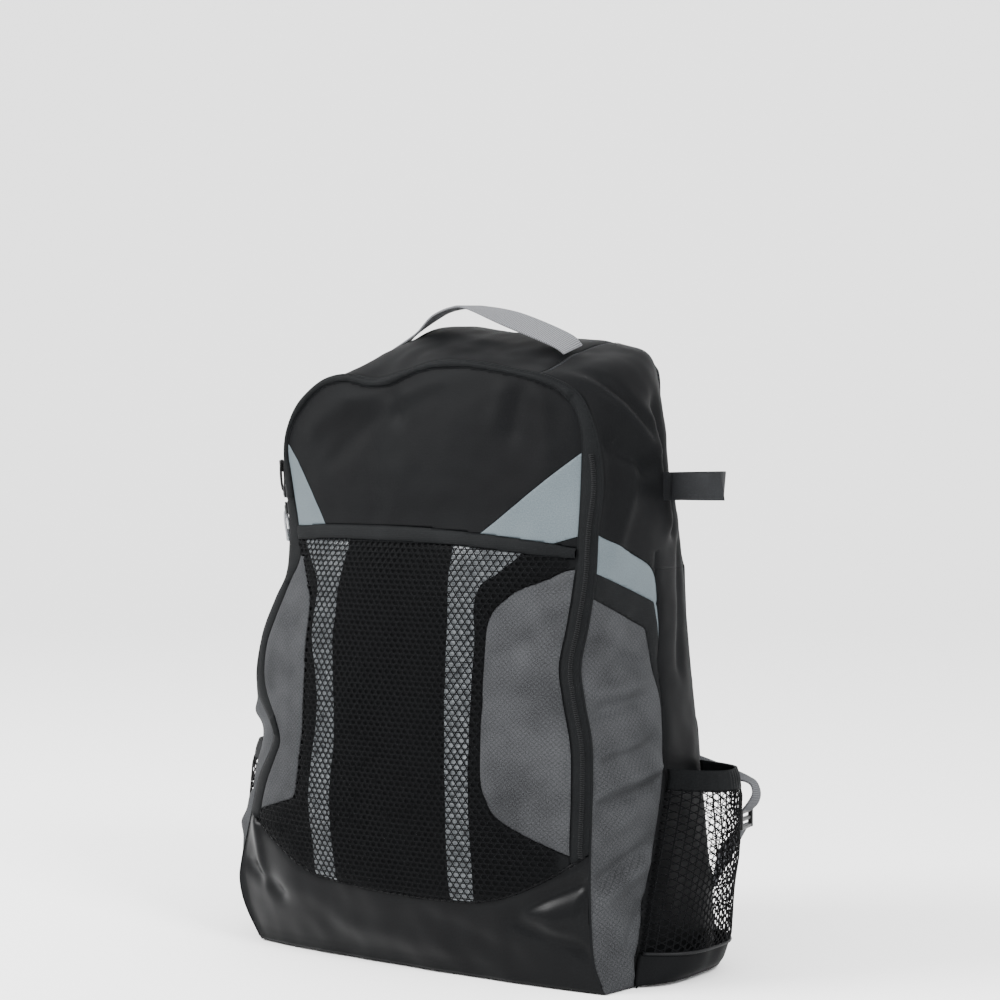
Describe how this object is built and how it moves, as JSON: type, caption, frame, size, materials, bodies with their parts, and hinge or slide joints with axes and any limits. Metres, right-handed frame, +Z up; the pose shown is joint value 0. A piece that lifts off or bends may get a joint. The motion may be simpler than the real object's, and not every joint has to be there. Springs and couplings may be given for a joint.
{
  "type": "bat backpack",
  "caption": "Soft day pack with an arched zip front, a net front pocket, net side pockets with bat loops, a webbing grab handle and padded shoulder straps.",
  "frame": {"origin": "on the floor, under the middle of the whole pack's footprint", "axes": "+Z up, -Y out of the zip front, +X to the right of someone who faces the front"},
  "size_m": [0.4496, 0.2394, 0.5264],
  "materials": {
    "black_cloth": "plain woven polyester with a faint sheen",
    "light_cloth": "light grey woven polyester",
    "grey_ripstop": "heather grey ripstop with a small diamond grid",
    "binding_cloth": "folded black binding cloth",
    "shiny_tape": "glossy grey coated tape",
    "net": "knitted hexagonal net",
    "coated_cloth": "satin coated cloth",
    "zip_coil": "nylon zip coil",
    "slider_metal": "black enamelled zinc",
    "black_webbing": "ribbed black webbing",
    "grey_webbing": "ribbed grey webbing",
    "padded_cloth": "foam padded spacer cloth",
    "moulded_plastic": "moulded acetal"
  },
  "bodies": {
    "root": {"upper_front_panel": "black_cloth", "light_accent_right": "light_cloth", "light_accent_left": "light_cloth", "hem_band": "binding_cloth", "pocket_backing": "black_cloth", "shiny_stripe_right": "shiny_tape", "shiny_stripe_left": "shiny_tape", "front_net": "net", "grey_front_panel_right": "grey_ripstop", "grey_front_panel_left": "grey_ripstop", "boot_panel": "coated_cloth", "zip_band": "binding_cloth", "zip_coil": "zip_coil", "zip_slider_upper": "slider_metal", "zip_slider_lower": "slider_metal", "top_panel": "black_cloth", "grey_gusset_right": "grey_ripstop", "dark_band_right": "binding_cloth", "light_band_right": "light_cloth", "side_wall_right": "black_cloth", "shoulder_gusset_right": "black_cloth", "pocket_cup_right": "binding_cloth", "pocket_net_right": "net", "pocket_hem_right": "binding_cloth", "bat_loop_right": "black_webbing", "shoulder_strap_right": "padded_cloth", "strap_webbing_right": "black_webbing", "ladder_lock_right": "moulded_plastic", "anchor_tab_right": "binding_cloth", "grey_gusset_left": "grey_ripstop", "dark_band_left": "binding_cloth", "light_band_left": "light_cloth", "side_wall_left": "black_cloth", "shoulder_gusset_left": "black_cloth", "pocket_cup_left": "binding_cloth", "pocket_net_left": "net", "pocket_hem_left": "binding_cloth", "bat_loop_left": "black_webbing", "shoulder_strap_left": "padded_cloth", "strap_webbing_left": "black_webbing", "ladder_lock_left": "moulded_plastic", "anchor_tab_left": "binding_cloth", "back_panel": "padded_cloth", "base_panel": "coated_cloth", "grab_handle": "grey_webbing"}
  },
  "joints": []
}
